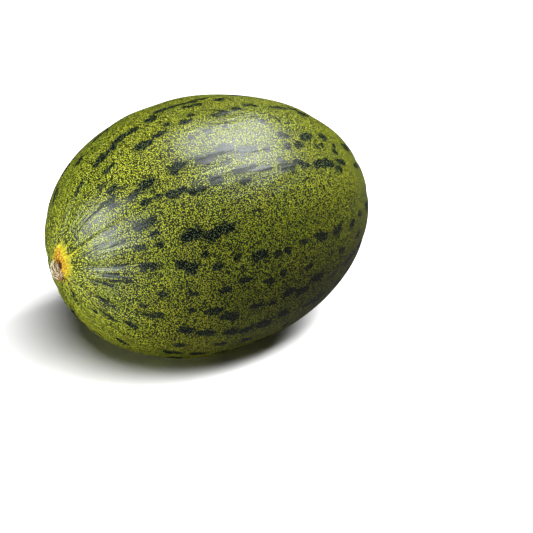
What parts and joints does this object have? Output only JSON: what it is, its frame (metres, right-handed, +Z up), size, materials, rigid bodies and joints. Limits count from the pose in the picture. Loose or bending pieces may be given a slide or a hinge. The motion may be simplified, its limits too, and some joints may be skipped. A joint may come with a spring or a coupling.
{
  "type": "melon",
  "caption": "Whole oval melon with a mottled green toad-skin rind, lying on its side on a small flat spot, with a corky collar round a dried stem stub.",
  "frame": {"origin": "on the surface that the fruit rests on, below the middle of the whole length, stem stub included", "axes": "+X along the fruit from the stem end to the blossom end, +Z up"},
  "size_m": [0.2324, 0.1678, 0.1651],
  "materials": {
    "rind": "waxy toad-skin rind: fine yellow-green speckle over dark green, with darker blotches in lengthwise rows",
    "dried_stem": "dry fibrous stem tissue, matte, straw to brown"
  },
  "bodies": {
    "root": {"fruit": "rind", "stem_stub": "dried_stem"}
  },
  "joints": []
}
